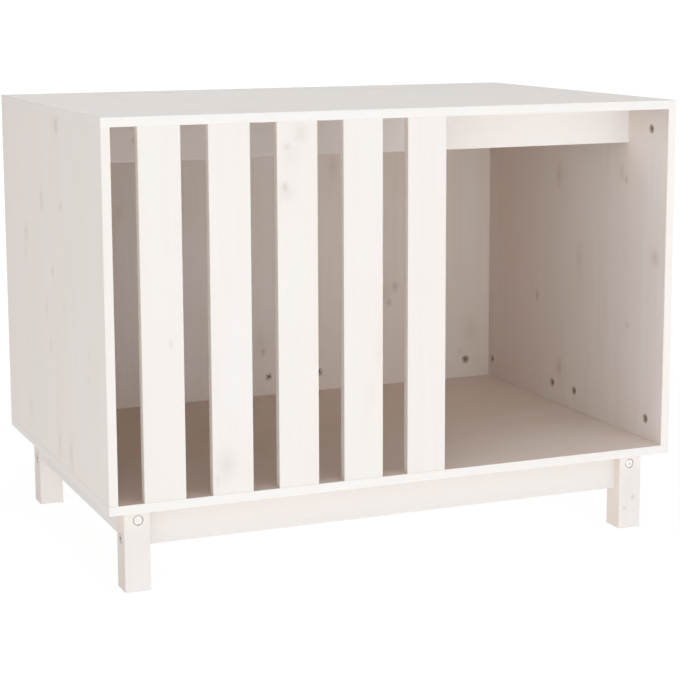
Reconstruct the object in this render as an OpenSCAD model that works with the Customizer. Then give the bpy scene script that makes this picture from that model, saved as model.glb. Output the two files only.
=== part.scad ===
// Slatted dog house in solid pine: a cabin of flat boards on a low base of four legs and four skirts.
// X runs from left to right, the front faces -Y, and the feet stand on Z = 0.

/* [Cabin] */
// Outside width of the cabin
body_w = 900; // [800:10:1100]
// Outside depth of the cabin
body_d = 600; // [480:10:760]
// Height of the cabin, over its floor and top panels
body_h = 550; // [420:10:700]
// Thickness of the cabin's boards
board_t = 13.5; // [13:0.5:20]
// How far the joint of the two back boards lies to the right of the middle
back_joint = 52; // [-120:1:120]
// Rounding of the edges that a hand can reach
edge_round = 1.2; // [0.6:0.1:2]
// Rounding of the edges that meet another board
joint_round = 0.3; // [0.2:0.1:0.6]

/* [Front] */
// Width of a front slat
slat_w = 61; // [45:1:80]
// Open gap between two slats
slat_gap = 39.3; // [25:0.1:55]
// Open gap between the left side and the first slat
first_gap = 37.5; // [20:0.5:60]
// Height of the rail under the top panel
rail_h = 59; // [50:1:90]
// Distance from the front edge back to the rail
rail_setback = 115; // [90:1:150]

/* [Base] */
// Height of the legs, from the ground to the floor panel
leg_h = 122.5; // [90:0.5:200]
// Side of a leg's square section
leg_w = 38; // [34:1:50]
// Distance from the side of the cabin in to the legs
leg_inset_side = 29.5; // [10:0.5:60]
// Distance from the front and from the rear of the cabin in to the legs
leg_inset_front = 31.5; // [20:0.5:60]
// Height of the skirts between the legs
skirt_h = 60; // [56:1:80]
// Thickness of the skirts
skirt_t = 13.5; // [13:0.5:18]
// Distance from a leg's outer face back to the skirts
skirt_recess = 14; // [4:0.5:16]

/* [Cam fittings] */
// Diameter of a cam lock
cam_d = 15; // [14:0.5:16]
// Length of a cam lock, along its own axis
cam_l = 11; // [10.5:0.1:11.5]
// Distance from a board's end to the middle of its cam locks
cam_reach = 33; // [28:0.5:38]
// Diameter of a cam bolt's shank
cam_bolt_d = 7; // [5:0.1:7.5]
// Length of a cam bolt's thread in the panel
cam_thread_l = 8.5; // [6:0.5:9]
// Distance from a side board's front edge to its first cam lock
side_cam_front = 47.5; // [30:0.5:60]
// Distance from a side board's rear edge to its last cam lock
side_cam_rear = 27.5; // [24:0.5:60]
// Distance from a back board's edges to its cam locks
back_cam_edge = 47.5; // [30:0.5:70]
// Distance from the ends of a rail or skirt to its outer cam locks
rail_cam_edge = 120; // [90:1:160]

/* [Dowels and screws] */
// Diameter of a dowel
dowel_d = 6; // [4:0.5:7]
// Depth of a dowel in the face of a panel
dowel_in_face = 8.5; // [6:0.5:9]
// Depth of a dowel in the end of a board
dowel_in_end = 16.5; // [10:0.5:20]
// Distance from the middle of a slat to its dowels and its screws
slat_pin_offset = 18; // [10:0.5:18]
// Distance from the ends of a joint between two boards to its dowels
joint_dowel_edge = 120; // [60:1:180]
// Distance from a leg's outer faces to its dowel
leg_dowel_edge = 9; // [6:0.5:10]
// Diameter of a slat screw
screw_d = 4; // [3:0.1:4.5]
// Length of a slat screw
screw_l = 30; // [26:1:45]

/* [Leg bolts] */
// Diameter of a leg bolt's shank
bolt_d = 6; // [4:0.5:6]
// Diameter of a leg bolt's round head
bolt_head_d = 13; // [10:0.5:13.5]
// Diameter of the recess round a leg bolt's head
bolt_recess_d = 15.5; // [14:0.5:16]
// Depth of the recess round a leg bolt's head
bolt_recess_l = 2.6; // [2.6:0.1:6]
// Distance from the floor panel down to the bolts in the front and rear faces
front_bolt_drop = 19; // [16:1:22]
// Distance from the floor panel down to the bolts in the side faces
side_bolt_drop = 48; // [40:1:49]
// Diameter of a barrel nut
nut_d = 10; // [9:0.5:11]
// Distance from a skirt's end to the middle of its barrel nuts
nut_reach = 18; // [14:1:30]

/* [Fit] */
// Clearance round each fitting in its hole
fit_gap = 0.15; // [0.1:0.05:0.25]

/* [Hidden] */
$fn = 64;

// Colours
whitewash = [0.94, 0.92, 0.90];
beech = [0.83, 0.70, 0.52];
zinc = [0.62, 0.62, 0.63];
steel = [0.80, 0.80, 0.81];

// Planes of the cabin
out_x = body_w / 2;
in_x = out_x - board_t;
front_y = -body_d / 2;
rear_y = body_d / 2;
side_joint_y = 0;
back_y = rear_y - board_t;
floor_top = leg_h + board_t;
top_under = leg_h + body_h - board_t;
top_z = leg_h + body_h;
rail_y = front_y + rail_setback;

// Middle planes of the boards, where their bolts and dowels lie
side_mid_x = out_x - board_t / 2;
back_mid_y = rear_y - board_t / 2;
rail_mid_y = rail_y + board_t / 2;
slat_mid_y = front_y + board_t / 2;

// Planes of the base, at the front left corner
leg_x = -out_x + leg_inset_side;
leg_y = front_y + leg_inset_front;
leg_in_x = leg_x + leg_w;
leg_in_y = leg_y + leg_w;
skirt_x = leg_x + skirt_recess;
skirt_y = leg_y + skirt_recess;
skirt_mid_x = skirt_x + skirt_t / 2;
skirt_mid_y = skirt_y + skirt_t / 2;
skirt_z = leg_h - skirt_h;

// Details of the fittings
cam_sink = 0.4;
cam_cross_w = 2.4;
cam_cross_l = 9;
cam_cross_depth = 2.2;
cam_cross_turn = 25;
cam_cup_d = 6.5;
cam_cup_depth = 1.6;
cam_rim_w = 1.2;
cam_rim_depth = 0.4;
cam_neck_d = 3.6;
cam_head_d = 6.2;
cam_head_l = 3.2;
thread_d = 4.8;
thread_ridge = 0.5;
thread_pitch = 2.4;
dowel_chamfer = 0.8;
screw_head_d = 7.8;
screw_head_l = 2.6;
screw_tip_l = 4;
screw_tip_d = 0.8;
screw_cross_w = 1;
screw_cross_l = 4.4;
bolt_head_l = 2.2;
bolt_head_round = 0.8;
bolt_socket_w = 4.4;
bolt_socket_l = 1.8;
bolt_past_nut = 6;
nut_l = 12;
nut_sink = 0.4;
hole_end_gap = 0.5;

// Places of the fittings
side_cam_y = [
    front_y + side_cam_front,
    side_joint_y - side_cam_rear,
    side_joint_y + side_cam_front,
    rear_y - side_cam_rear
];
side_dowel_y = [(side_cam_y[0] + side_cam_y[1]) / 2, (side_cam_y[2] + side_cam_y[3]) / 2];
back_cam_x = [
    -in_x + back_cam_edge,
    back_joint - back_cam_edge,
    back_joint + back_cam_edge,
    in_x - back_cam_edge
];
back_dowel_x = [(back_cam_x[0] + back_cam_x[1]) / 2, (back_cam_x[2] + back_cam_x[3]) / 2];
rail_cam_x = [-in_x + rail_cam_edge, 0, in_x - rail_cam_edge];
rail_dowel_z = top_under - rail_h / 2;
joint_dowel_z = [floor_top + joint_dowel_edge, top_under - joint_dowel_edge];
front_skirt_cam_x = [leg_in_x + rail_cam_edge, 0, -leg_in_x - rail_cam_edge];
side_skirt_cam_y = [leg_in_y + rail_cam_edge, -leg_in_y - rail_cam_edge];
slat_x = [for (i = [0:4]) -in_x + first_gap + i * (slat_w + slat_gap)];
slat_pin_x = [for (x = slat_x, s = [-1, 1]) x + slat_w / 2 + s * slat_pin_offset];

// Where a joint stands: its place, whether its panel lies above it, and which way its cams face
function panel_z(above) = above ? top_under : floor_top;
function side_joints(side, ys) =
    [for (y = ys, above = [false, true]) [[side * side_mid_x, y, panel_z(above)], above, -side * 90]];
function back_joints(xs) = [for (x = xs, above = [false, true]) [[x, back_mid_y, panel_z(above)], above, 0]];
rail_joints = [for (x = rail_cam_x) [[x, rail_mid_y, top_under], true, 180]];
front_skirt_joints = [for (x = front_skirt_cam_x) [[x, skirt_mid_y, leg_h], true, 180]];
rear_skirt_joints = [for (x = front_skirt_cam_x) [[x, -skirt_mid_y, leg_h], true, 0]];
left_skirt_joints = [for (y = side_skirt_cam_y) [[skirt_mid_x, y, leg_h], true, 90]];
right_skirt_joints = [for (y = side_skirt_cam_y) [[-skirt_mid_x, y, leg_h], true, -90]];

// Places its children at each joint: +Z runs from the panel into the board, and the cams face -Y
module at_joints(joints) {
    for (j = joints)
        translate(j[0])
            mirror([0, 0, j[1] ? 1 : 0])
                rotate([0, 0, j[2]])
                    children();
}

// Mirrors its children from the front left corner to another corner
module to_corner(right, rear) {
    mirror([right ? 1 : 0, 0, 0])
        mirror([0, rear ? 1 : 0, 0])
            children();
}

// Repeats its children at both ends of the front or rear, and at both ends of one side
module both_sides(rear) {
    for (right = [false, true])
        to_corner(right, rear)
            children();
}

module both_ends(right) {
    for (rear = [false, true])
        to_corner(right, rear)
            children();
}

// The four corners of a section, all with one rounding
function alike(r) = [r, r, r, r];

// One corner of a section, as a short arc about its own centre
function arc(x, y, r, start) = [for (i = [0:3]) [x + r * cos(start + i * 30), y + r * sin(start + i * 30)]];

// A section from lo to hi whose corners have their own roundings: low left, low right, high right, high left
module section(lo, hi, r) {
    polygon(concat(
        arc(lo.x + r[0], lo.y + r[0], r[0], 180),
        arc(hi.x - r[1], lo.y + r[1], r[1], 270),
        arc(hi.x - r[2], hi.y - r[2], r[2], 0),
        arc(lo.x + r[3], hi.y - r[3], r[3], 90)
    ));
}

// A board whose grain runs up, with its section in X and Y
module upright(lo, hi, r) {
    translate([0, 0, lo.z])
        linear_extrude(hi.z - lo.z)
            section([lo.x, lo.y], [hi.x, hi.y], r);
}

// A board whose grain runs along X, with its section in Y and Z
module crosswise(lo, hi, r) {
    translate([lo.x, 0, 0])
        rotate([90, 0, 90])
            linear_extrude(hi.x - lo.x)
                section([lo.y, lo.z], [hi.y, hi.z], r);
}

// A board whose grain runs along Y, with its section in X and Z
module lengthwise(lo, hi, r) {
    translate([0, hi.y, 0])
        rotate([90, 0, 0])
            linear_extrude(hi.y - lo.y)
                section([lo.x, lo.z], [hi.x, hi.z], r);
}

// A full panel with every edge rounded: low_r at its lower face and high_r at its upper face
module panel(z0, z1, low_r, high_r) {
    lo = [-out_x, front_y, z0];
    hi = [out_x, rear_y, z1];
    edges = [low_r, low_r, high_r, high_r];
    intersection() {
        crosswise(lo, hi, edges);
        lengthwise(lo, hi, edges);
        upright(lo, hi, alike(max(low_r, high_r)));
    }
}

// A cam lock: a drum with a rim, a cup and a cross on its face, and a slot that takes the bolt's head
module cam_lock(t) {
    difference() {
        translate([0, cam_sink - t / 2, cam_reach])
            rotate([-90, 0, 0])
                difference() {
                    cylinder(d = cam_d - 2 * fit_gap, h = cam_l);
                    translate([0, 0, -cam_rim_depth])
                        cylinder(d = cam_d - 2 * cam_rim_w, h = 2 * cam_rim_depth);
                    rotate([0, 0, cam_cross_turn])
                        cross_slot(cam_cross_l, cam_cross_w, cam_cross_depth);
                    cylinder(d1 = cam_cup_d, d2 = cam_cross_w, h = cam_cup_depth);
                }
        translate([0, 0, cam_reach - cam_d])
            cylinder(d = cam_head_d + 2 * fit_gap, h = cam_d + cam_head_l);
    }
}

// The hole of a cam lock, with the bore that its bolt comes through
module cam_hole(t) {
    translate([0, -t / 2 - 1, cam_reach])
        rotate([-90, 0, 0])
            cylinder(d = cam_d, h = cam_sink + cam_l + 1);
    translate([0, 0, -1])
        cylinder(d = cam_bolt_d + 2 * fit_gap, h = cam_reach + 1);
}

// A cam bolt: a coarse thread in the panel, a shank in the board, and a headed neck in the cam
module cam_bolt() {
    shank_l = cam_reach - cam_d / 2;
    neck_top = cam_reach - cam_head_l / 2;
    translate([0, 0, -cam_thread_l])
        cylinder(d = thread_d - thread_ridge, h = cam_thread_l);
    for (z = [thread_pitch / 2:thread_pitch:cam_thread_l - thread_pitch / 2])
        translate([0, 0, z - cam_thread_l])
            cylinder(d = thread_d, h = thread_pitch / 3);
    cylinder(d = cam_bolt_d, h = shank_l);
    translate([0, 0, shank_l])
        cylinder(d = cam_neck_d, h = neck_top - shank_l);
    translate([0, 0, neck_top])
        cylinder(d = cam_head_d, h = cam_head_l);
}

// The hole of a cam bolt's thread in the panel
module cam_thread_hole() {
    translate([0, 0, -cam_thread_l - hole_end_gap])
        cylinder(d = thread_d + 2 * fit_gap, h = cam_thread_l + hole_end_gap + 1);
}

// A dowel with chamfered ends
module dowel() {
    body_l = dowel_in_face + dowel_in_end - 2 * dowel_chamfer;
    tip_d = dowel_d - 2 * dowel_chamfer;
    translate([0, 0, -dowel_in_face])
        cylinder(d1 = tip_d, d2 = dowel_d, h = dowel_chamfer);
    translate([0, 0, dowel_chamfer - dowel_in_face])
        cylinder(d = dowel_d, h = body_l);
    translate([0, 0, dowel_in_end - dowel_chamfer])
        cylinder(d1 = dowel_d, d2 = tip_d, h = dowel_chamfer);
}

// The hole of a dowel, through both pieces that it joins
module dowel_hole() {
    translate([0, 0, -dowel_in_face - hole_end_gap])
        cylinder(d = dowel_d + 2 * fit_gap, h = dowel_in_face + dowel_in_end + 2 * hole_end_gap);
}

// A cross-shaped recess, cut upwards from Z = 0
module cross_slot(length, width, depth) {
    for (turn = [0, 90])
        rotate([0, 0, turn])
            translate([-length / 2, -width / 2, -1])
                cube([length, width, depth + 1]);
}

// A countersunk screw that points up, with its head flush at Z = 0
module slat_screw() {
    shank_l = screw_l - screw_head_l - screw_tip_l;
    difference() {
        union() {
            cylinder(d1 = screw_head_d, d2 = screw_d, h = screw_head_l);
            translate([0, 0, screw_head_l])
                cylinder(d = screw_d, h = shank_l);
            translate([0, 0, screw_head_l + shank_l])
                cylinder(d1 = screw_d, d2 = screw_tip_d, h = screw_tip_l);
        }
        cross_slot(screw_cross_l, screw_cross_w, screw_head_l / 2);
    }
}

// The hole of a slat screw, with its countersink
module slat_screw_hole() {
    translate([0, 0, -fit_gap])
        cylinder(d1 = screw_head_d + 4 * fit_gap, d2 = screw_d + 2 * fit_gap, h = screw_head_l + fit_gap);
    cylinder(d = screw_d + 2 * fit_gap, h = screw_l + hole_end_gap);
}

// Points of a leg bolt: two in the faces that look forwards, and two in the faces that look sideways
module at_front_bolt() {
    translate([skirt_mid_x, leg_y, leg_h - front_bolt_drop])
        rotate([0, 90, 0])
            rotate([-90, 0, 0])
                children();
}

module at_side_bolt() {
    translate([leg_x, skirt_mid_y, leg_h - side_bolt_drop])
        rotate([0, 90, 0])
            rotate([0, 0, 180])
                children();
}

// A leg bolt: a domed head with a hexagon socket, and a shank that ends past its barrel nut
module leg_bolt() {
    head_z = bolt_recess_l - bolt_head_l;
    difference() {
        union() {
            translate([0, 0, head_z])
                cylinder(d1 = bolt_head_d - 2 * bolt_head_round, d2 = bolt_head_d, h = bolt_head_round);
            translate([0, 0, head_z + bolt_head_round])
                cylinder(d = bolt_head_d, h = bolt_head_l - bolt_head_round);
            translate([0, 0, bolt_recess_l])
                cylinder(d = bolt_d, h = leg_w - bolt_recess_l + nut_reach + bolt_past_nut);
        }
        translate([0, 0, head_z - 1])
            cylinder(d = bolt_socket_w / cos(30), h = bolt_socket_l + 1, $fn = 6);
    }
}

// The hole of a leg bolt in its leg and in the end of its skirt
module leg_bolt_hole() {
    translate([0, 0, -1])
        cylinder(d = bolt_recess_d, h = bolt_recess_l + 1);
    cylinder(d = bolt_d + 2 * fit_gap, h = leg_w + nut_reach + bolt_past_nut + hole_end_gap);
}

// A barrel nut, which lies across the end of its bolt and shows at the skirt's inner face
module barrel_nut() {
    difference() {
        translate([0, nut_sink - skirt_t / 2, leg_w + nut_reach])
            rotate([-90, 0, 0])
                difference() {
                    cylinder(d = nut_d - 2 * fit_gap, h = nut_l);
                    translate([-nut_d / 2, -screw_cross_w / 2, -1])
                        cube([nut_d, screw_cross_w, 1 + screw_cross_w]);
                }
        translate([0, 0, leg_w])
            cylinder(d = bolt_d + 2 * fit_gap, h = 2 * nut_reach);
    }
}

// The hole of a barrel nut in its skirt
module barrel_nut_hole() {
    translate([0, -skirt_t / 2 - 1, leg_w + nut_reach])
        rotate([-90, 0, 0])
            cylinder(d = nut_d, h = 1 + nut_sink + nut_l);
}

// Dowels across the joint between two boards, and in the ends of the rail
module at_side_joint_dowels(side) {
    for (z = joint_dowel_z)
        translate([side * side_mid_x, side_joint_y, z])
            rotate([-90, 0, 0])
                translate([0, 0, (dowel_in_face - dowel_in_end) / 2])
                    children();
}

module at_back_joint_dowels() {
    for (z = joint_dowel_z)
        translate([back_joint, back_mid_y, z])
            rotate([0, 90, 0])
                translate([0, 0, (dowel_in_face - dowel_in_end) / 2])
                    children();
}

module at_rail_dowels() {
    both_sides(false)
        translate([-in_x, rail_mid_y, rail_dowel_z])
            rotate([0, 90, 0])
                children();
}

module at_slat_dowels() {
    for (x = slat_pin_x)
        translate([x, slat_mid_y, top_under])
            mirror([0, 0, 1])
                children();
}

module at_slat_screws() {
    for (x = slat_pin_x)
        translate([x, slat_mid_y, leg_h])
            children();
}

module at_leg_dowels() {
    for (rear = [false, true])
        both_sides(rear)
            translate([leg_x + leg_dowel_edge, leg_y + leg_dowel_edge, leg_h])
                mirror([0, 0, 1])
                    children();
}

// Panels
module top_panel() {
    color(whitewash)
        difference() {
            panel(top_under, top_z, joint_round, edge_round);
            at_joints(concat(side_joints(-1, side_cam_y), side_joints(1, side_cam_y))) cam_thread_hole();
            at_joints(concat(back_joints(back_cam_x), rail_joints)) cam_thread_hole();
            at_joints(concat(side_joints(-1, side_dowel_y), side_joints(1, side_dowel_y))) dowel_hole();
            at_joints(back_joints(back_dowel_x)) dowel_hole();
            at_slat_dowels() dowel_hole();
        }
}

module floor_panel() {
    color(whitewash)
        difference() {
            panel(leg_h, floor_top, edge_round, joint_round);
            at_joints(concat(side_joints(-1, side_cam_y), side_joints(1, side_cam_y))) cam_thread_hole();
            at_joints(back_joints(back_cam_x)) cam_thread_hole();
            at_joints(concat(front_skirt_joints, rear_skirt_joints)) cam_thread_hole();
            at_joints(concat(left_skirt_joints, right_skirt_joints)) cam_thread_hole();
            at_joints(concat(side_joints(-1, side_dowel_y), side_joints(1, side_dowel_y))) dowel_hole();
            at_joints(back_joints(back_dowel_x)) dowel_hole();
            at_slat_screws() slat_screw_hole();
            at_leg_dowels() dowel_hole();
        }
}

// Boards of the sides
module side_board(side, y0, y1, r) {
    difference() {
        upright([side < 0 ? -out_x : in_x, y0, floor_top], [side < 0 ? -in_x : out_x, y1, top_under], r);
        at_joints(side_joints(side, side_cam_y)) cam_hole(board_t);
        at_joints(side_joints(side, side_dowel_y)) dowel_hole();
        at_side_joint_dowels(side) dowel_hole();
        at_rail_dowels() dowel_hole();
    }
}

module side_front_board(side) {
    side_board(side, front_y, side_joint_y, [edge_round, edge_round, joint_round, joint_round]);
}

module side_rear_board(side) {
    rear_left = side < 0 ? edge_round : joint_round;
    rear_right = side < 0 ? joint_round : edge_round;
    side_board(side, side_joint_y, rear_y, [joint_round, joint_round, rear_right, rear_left]);
}

module left_side_front_board() { color(whitewash) side_front_board(-1); }
module left_side_rear_board() { color(whitewash) side_rear_board(-1); }
module right_side_front_board() { color(whitewash) side_front_board(1); }
module right_side_rear_board() { color(whitewash) side_rear_board(1); }

// Boards of the back
module back_board(x0, x1) {
    difference() {
        upright([x0, back_y, floor_top], [x1, rear_y, top_under], alike(joint_round));
        at_joints(back_joints(back_cam_x)) cam_hole(board_t);
        at_joints(back_joints(back_dowel_x)) dowel_hole();
        at_back_joint_dowels() dowel_hole();
    }
}

module back_left_board() { color(whitewash) back_board(-in_x, back_joint); }
module back_right_board() { color(whitewash) back_board(back_joint, in_x); }

// Front slats and the rail
module slat(i) {
    x = slat_x[i];
    difference() {
        upright([x, front_y, floor_top], [x + slat_w, front_y + board_t, top_under], alike(edge_round));
        at_slat_dowels() dowel_hole();
        at_slat_screws() slat_screw_hole();
    }
}

module slat_1() { color(whitewash) slat(0); }
module slat_2() { color(whitewash) slat(1); }
module slat_3() { color(whitewash) slat(2); }
module slat_4() { color(whitewash) slat(3); }
module slat_5() { color(whitewash) slat(4); }

module header_rail() {
    color(whitewash)
        difference() {
            crosswise([-in_x, rail_y, top_under - rail_h], [in_x, rail_y + board_t, top_under],
                [edge_round, edge_round, joint_round, joint_round]);
            at_joints(rail_joints) cam_hole(board_t);
            at_rail_dowels() dowel_hole();
        }
}

// Legs and skirts
module leg(right, rear) {
    to_corner(right, rear)
        difference() {
            upright([leg_x, leg_y, 0], [leg_in_x, leg_in_y, leg_h], alike(edge_round));
            at_front_bolt() leg_bolt_hole();
            at_side_bolt() leg_bolt_hole();
            at_leg_dowels() dowel_hole();
        }
}

module leg_front_left() { color(whitewash) leg(false, false); }
module leg_front_right() { color(whitewash) leg(true, false); }
module leg_rear_left() { color(whitewash) leg(false, true); }
module leg_rear_right() { color(whitewash) leg(true, true); }

module long_skirt(rear, joints) {
    difference() {
        to_corner(false, rear)
            crosswise([leg_in_x, skirt_y, skirt_z], [-leg_in_x, skirt_y + skirt_t, leg_h],
                [edge_round, edge_round, joint_round, joint_round]);
        at_joints(joints) cam_hole(skirt_t);
        both_sides(rear)
            at_side_bolt() {
                leg_bolt_hole();
                barrel_nut_hole();
            }
    }
}

module short_skirt(right, joints) {
    difference() {
        to_corner(right, false)
            lengthwise([skirt_x, leg_in_y, skirt_z], [skirt_x + skirt_t, -leg_in_y, leg_h],
                [edge_round, edge_round, joint_round, joint_round]);
        at_joints(joints) cam_hole(skirt_t);
        both_ends(right)
            at_front_bolt() {
                leg_bolt_hole();
                barrel_nut_hole();
            }
    }
}

module front_skirt() { color(whitewash) long_skirt(false, front_skirt_joints); }
module rear_skirt() { color(whitewash) long_skirt(true, rear_skirt_joints); }
module left_skirt() { color(whitewash) short_skirt(false, left_skirt_joints); }
module right_skirt() { color(whitewash) short_skirt(true, right_skirt_joints); }

// Cam locks
module left_side_cams() { color(zinc) at_joints(side_joints(-1, side_cam_y)) cam_lock(board_t); }
module right_side_cams() { color(zinc) at_joints(side_joints(1, side_cam_y)) cam_lock(board_t); }
module back_cams() { color(zinc) at_joints(back_joints(back_cam_x)) cam_lock(board_t); }
module rail_cams() { color(zinc) at_joints(rail_joints) cam_lock(board_t); }
module front_skirt_cams() { color(zinc) at_joints(front_skirt_joints) cam_lock(skirt_t); }
module rear_skirt_cams() { color(zinc) at_joints(rear_skirt_joints) cam_lock(skirt_t); }
module left_skirt_cams() { color(zinc) at_joints(left_skirt_joints) cam_lock(skirt_t); }
module right_skirt_cams() { color(zinc) at_joints(right_skirt_joints) cam_lock(skirt_t); }

// Cam bolts
module left_side_cam_bolts() { color(steel) at_joints(side_joints(-1, side_cam_y)) cam_bolt(); }
module right_side_cam_bolts() { color(steel) at_joints(side_joints(1, side_cam_y)) cam_bolt(); }
module back_cam_bolts() { color(steel) at_joints(back_joints(back_cam_x)) cam_bolt(); }
module rail_cam_bolts() { color(steel) at_joints(rail_joints) cam_bolt(); }
module front_skirt_cam_bolts() { color(steel) at_joints(front_skirt_joints) cam_bolt(); }
module rear_skirt_cam_bolts() { color(steel) at_joints(rear_skirt_joints) cam_bolt(); }
module left_skirt_cam_bolts() { color(steel) at_joints(left_skirt_joints) cam_bolt(); }
module right_skirt_cam_bolts() { color(steel) at_joints(right_skirt_joints) cam_bolt(); }

// Dowels and screws
module left_side_dowels() { color(beech) at_joints(side_joints(-1, side_dowel_y)) dowel(); }
module right_side_dowels() { color(beech) at_joints(side_joints(1, side_dowel_y)) dowel(); }
module back_dowels() { color(beech) at_joints(back_joints(back_dowel_x)) dowel(); }
module rail_dowels() { color(beech) at_rail_dowels() dowel(); }
module slat_dowels() { color(beech) at_slat_dowels() dowel(); }
module leg_dowels() { color(beech) at_leg_dowels() dowel(); }
module left_joint_dowels() { color(beech) at_side_joint_dowels(-1) dowel(); }
module right_joint_dowels() { color(beech) at_side_joint_dowels(1) dowel(); }
module back_joint_dowels() { color(beech) at_back_joint_dowels() dowel(); }
module slat_screws() { color(steel) at_slat_screws() slat_screw(); }

// Leg bolts and their barrel nuts
module front_leg_bolts() { color(steel) both_sides(false) at_front_bolt() leg_bolt(); }
module rear_leg_bolts() { color(steel) both_sides(true) at_front_bolt() leg_bolt(); }
module left_leg_bolts() { color(steel) both_ends(false) at_side_bolt() leg_bolt(); }
module right_leg_bolts() { color(steel) both_ends(true) at_side_bolt() leg_bolt(); }
module front_barrel_nuts() { color(zinc) both_sides(false) at_side_bolt() barrel_nut(); }
module rear_barrel_nuts() { color(zinc) both_sides(true) at_side_bolt() barrel_nut(); }
module left_barrel_nuts() { color(zinc) both_ends(false) at_front_bolt() barrel_nut(); }
module right_barrel_nuts() { color(zinc) both_ends(true) at_front_bolt() barrel_nut(); }

top_panel();
floor_panel();
left_side_front_board();
left_side_rear_board();
right_side_front_board();
right_side_rear_board();
back_left_board();
back_right_board();
slat_1();
slat_2();
slat_3();
slat_4();
slat_5();
header_rail();
leg_front_left();
leg_front_right();
leg_rear_left();
leg_rear_right();
front_skirt();
rear_skirt();
left_skirt();
right_skirt();
left_side_cams();
right_side_cams();
back_cams();
rail_cams();
front_skirt_cams();
rear_skirt_cams();
left_skirt_cams();
right_skirt_cams();
left_side_cam_bolts();
right_side_cam_bolts();
back_cam_bolts();
rail_cam_bolts();
front_skirt_cam_bolts();
rear_skirt_cam_bolts();
left_skirt_cam_bolts();
right_skirt_cam_bolts();
left_side_dowels();
right_side_dowels();
back_dowels();
rail_dowels();
slat_dowels();
leg_dowels();
left_joint_dowels();
right_joint_dowels();
back_joint_dowels();
slat_screws();
front_leg_bolts();
rear_leg_bolts();
left_leg_bolts();
right_leg_bolts();
front_barrel_nuts();
rear_barrel_nuts();
left_barrel_nuts();
right_barrel_nuts();
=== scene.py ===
import math
import random
from collections import namedtuple

import bpy
from mathutils import Euler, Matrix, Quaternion, Vector


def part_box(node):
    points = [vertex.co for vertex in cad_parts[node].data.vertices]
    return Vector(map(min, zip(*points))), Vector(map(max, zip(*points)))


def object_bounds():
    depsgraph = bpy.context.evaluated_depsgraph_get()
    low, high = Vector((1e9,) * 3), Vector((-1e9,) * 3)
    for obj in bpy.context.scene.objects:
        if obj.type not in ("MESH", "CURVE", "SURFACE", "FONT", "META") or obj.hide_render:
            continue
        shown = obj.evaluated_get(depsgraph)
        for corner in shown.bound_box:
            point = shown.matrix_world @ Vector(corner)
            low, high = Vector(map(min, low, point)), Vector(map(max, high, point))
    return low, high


bl_info = {
    "name": "Slatted dog house",
    "version": (1, 0, 0),
    "blender": (4, 5, 0),
    "location": "3D View > Sidebar > Dog House",
    "description": "Finishes the packed dog house in whitewashed pine and sets up its studio",
    "category": "Object",
}

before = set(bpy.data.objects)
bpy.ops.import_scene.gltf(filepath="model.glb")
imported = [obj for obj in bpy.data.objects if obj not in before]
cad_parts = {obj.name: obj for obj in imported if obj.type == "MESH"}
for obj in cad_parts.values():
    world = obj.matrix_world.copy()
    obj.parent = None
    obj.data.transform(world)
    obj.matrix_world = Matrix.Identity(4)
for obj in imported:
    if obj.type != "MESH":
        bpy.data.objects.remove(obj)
CAD_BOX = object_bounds()
X, Y, Z = 0, 1, 2
MM = 0.001

# Boards

# How thin the wash is on the outer faces
OUTER = 0.11
SIDE = 0.22
RAIL_FACE = 0.24
SKIRT_FACE = 0.05
LEG_FACE = 0.07

# How thin it is on the faces that look into the cabin, which darkens and warms them: partly the wood's own
# finish and partly painted shade of the cabin's inside. The left back board is kept whiter than the right
# one, as painted light where the slats keep light from it
WALL = 0.40
LEFT_BACK = 0.18
RIGHT_BACK = 0.30
GROUND = 0.54
CEILING = 0.40
SLAT_REAR = 0.45

# How much thinner it is on the flanks, or thicker where the number is below nothing. On the sawn flanks of
# the slats and legs the thinner wash is partly the sawn grain's own and partly painted shade on these shaded
# sides
CRISP = -0.09
ALIKE = 0.0
SAWN_AND_SHADED = 0.26
ROUGH_SAWN_AND_SHADED = 0.28

# How grey it is, or how much whiter than plain wash where the number is below nothing. The grey of the skirts
# is painted shade under the floor panel, and the whiter wash of the back boards and of the right side's front
# board is painted light
PAINTED_LIGHT_STRONG = -0.30
PAINTED_LIGHT_MILD = -0.18
CLEAR = 0.0
HAZY = 0.09
DULL = 0.20
PAINTED_SHADE_GREY = 0.42

# How a board's faces change along an axis, one way or the other, as painted light and shade: how much thinner
# the wash is at the far end, or thicker where the number is below nothing, how much darker the wood is there,
# and whether it is the inner face that darkens or the outer ones. It lays painted shade on the floor behind
# the slats, in the rear corners of the sides, and at the tops of the skirts and legs under the floor panel.
# On the rail it lays painted light towards the right end, away from the slats' shade, with a little painted
# shade at that very end
Lean = namedtuple("Lean", "axis toward thin dark within")
EVEN = None
RAIL_LEAN = Lean(X, 1, -0.21, 0.06, False)
FLOOR_LEAN = Lean(X, -1, 0.25, 0.40, True)
CORNER_LEAN = Lean(Y, 1, 0.04, 0.25, True)
SKIRT_LEAN = Lean(Z, 1, 0.03, 0.14, False)
LEG_LEAN = Lean(Z, 1, 0.0, 0.11, False)

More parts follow.
